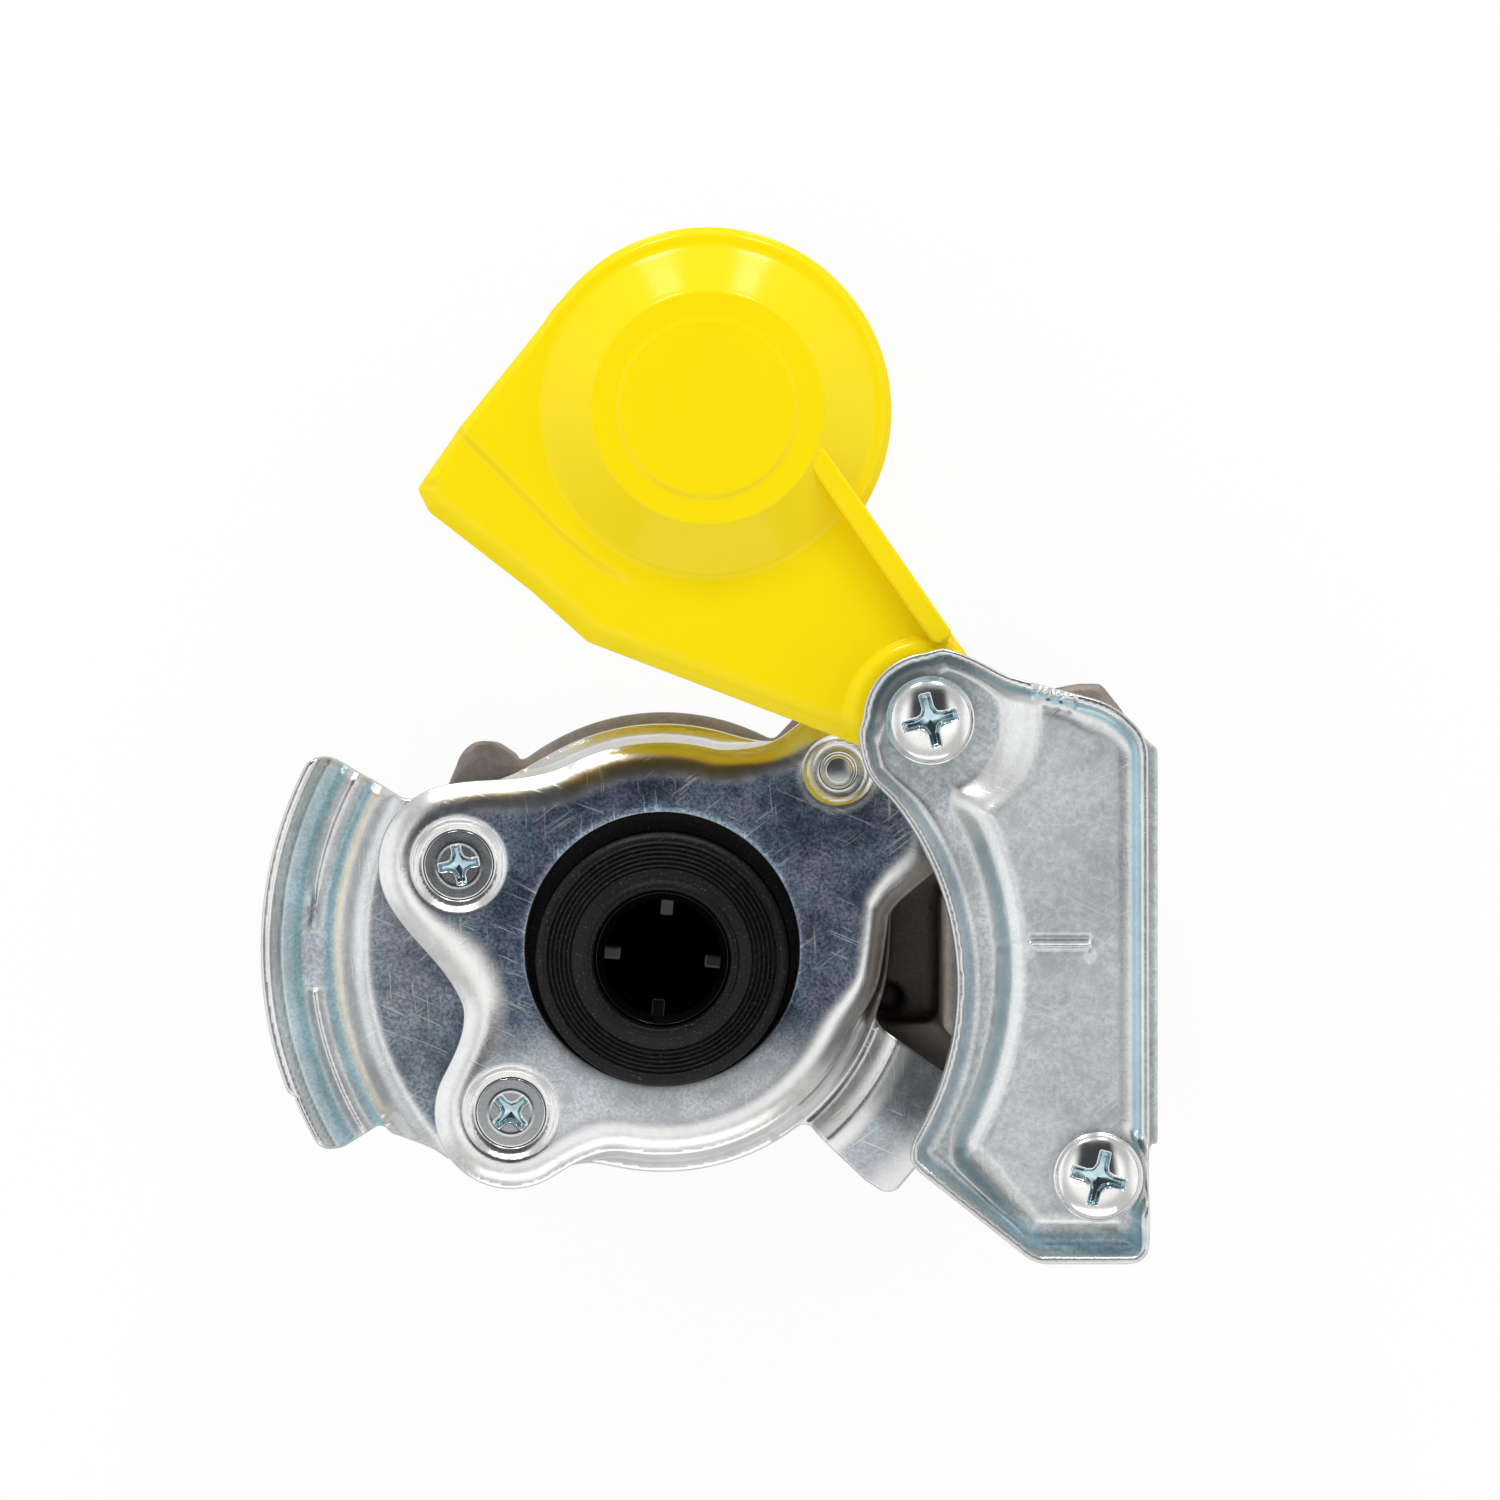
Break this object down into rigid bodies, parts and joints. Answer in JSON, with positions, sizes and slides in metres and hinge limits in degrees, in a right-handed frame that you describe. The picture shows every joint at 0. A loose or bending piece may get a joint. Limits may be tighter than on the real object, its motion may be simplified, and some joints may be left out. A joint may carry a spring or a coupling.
{
  "type": "gladhand air brake coupler",
  "caption": "Palm-type air brake hose coupler head with a face seal, claw, guide plate and swinging dust cover.",
  "frame": {"origin": "centre of the hose port where its lead-in chamfer ends, on the coupling axis", "axes": "+Z along the coupling axis from the hose port to the sealing lip, +X from the claw towards the guide plate, +Y towards the cover's hinge side"},
  "size_m": [0.1174, 0.134, 0.0602],
  "materials": {
    "cast_housing": "die-cast aluminium, dull warm grey, lightly pitted",
    "claw_steel": "zinc-plated pressed steel, cloudy",
    "retainer_steel": "zinc-plated pressed steel, mottled dark blue-grey",
    "guide_steel": "zinc-plated pressed steel, cloudy light blue-grey",
    "screw_steel": "bright zinc-plated steel",
    "cover_plastic": "glossy yellow moulded plastic",
    "seal_rubber": "satin black rubber with fine rings",
    "support_plastic": "glossy black moulded plastic"
  },
  "bodies": {
    "head": {"housing": "cast_housing", "claw_plate": "claw_steel", "retainer_plate": "retainer_steel", "guide_plate": "guide_steel", "side_plate": "guide_steel", "seal_ring": "seal_rubber", "seal_support": "support_plastic", "upper_plate_screw": "screw_steel", "lower_plate_screw": "screw_steel", "hinge_screw": "screw_steel", "guide_screw": "screw_steel", "hinge_bush": "screw_steel", "distance_sleeve": "screw_steel", "locating_rivet": "screw_steel"},
    "swing_cover": {"cover": "cover_plastic"}
  },
  "joints": [
    {"name": "cover_hinge", "type": "hinge", "parent": "head", "child": "swing_cover", "pos_m": [0.0348, 0.0301, 0.044], "axis": [0, 0, 1], "range_deg": [0, 95.4]}
  ]
}
